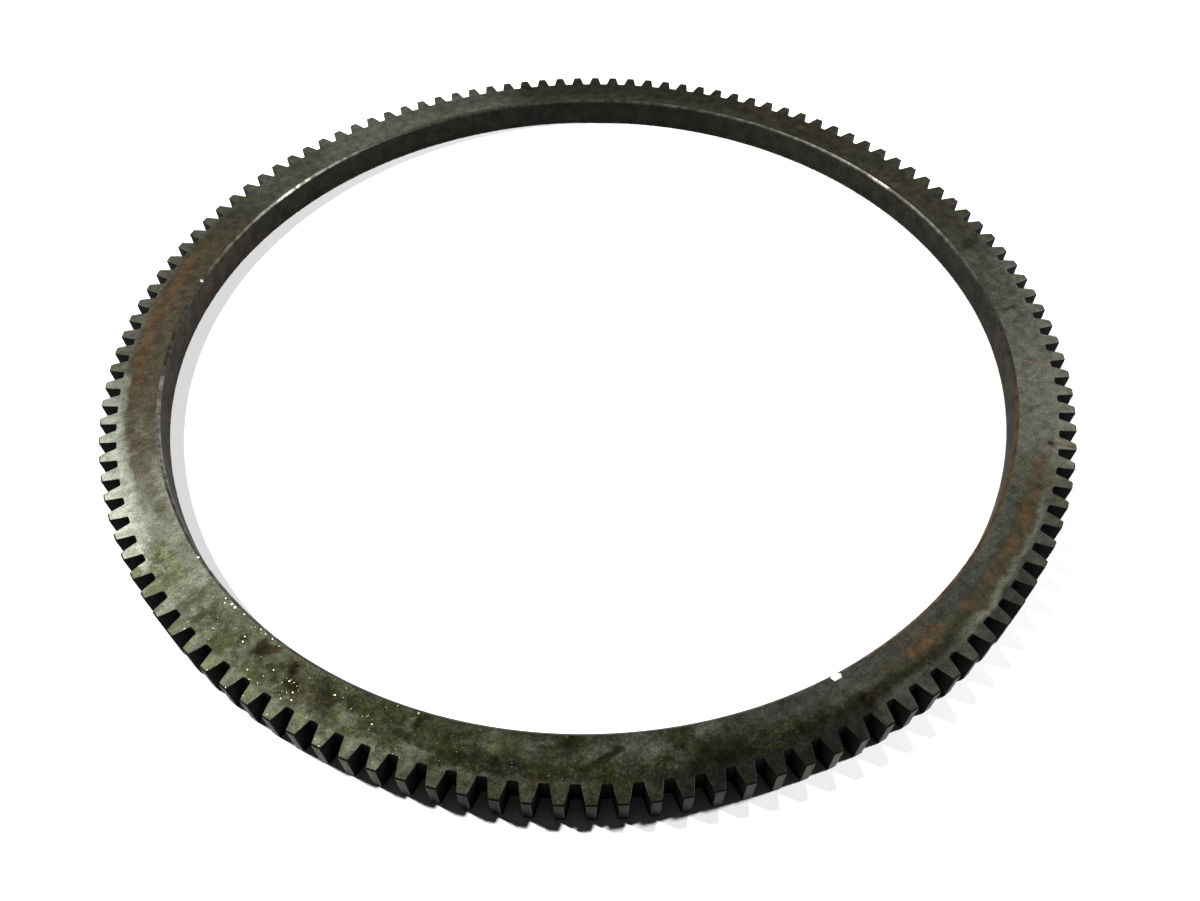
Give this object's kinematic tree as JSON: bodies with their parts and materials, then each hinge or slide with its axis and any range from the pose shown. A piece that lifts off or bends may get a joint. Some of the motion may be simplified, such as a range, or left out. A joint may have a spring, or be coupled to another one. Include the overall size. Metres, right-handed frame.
{
  "type": "ring gear",
  "caption": "Flat steel flywheel ring gear with straight involute teeth round its outside and a plain chamfered bore that shrinks onto a flywheel rim.",
  "frame": {"origin": "centre of the ring on its lower face", "axes": "+Z along the ring's axis, up from the lower face; +X through the middle of a tooth"},
  "size_m": [0.3276, 0.3276, 0.0111],
  "materials": {
    "oiled_steel": "bare oiled steel, dull, with light rust stains"
  },
  "bodies": {
    "root": {"ring_gear": "oiled_steel"}
  },
  "joints": []
}
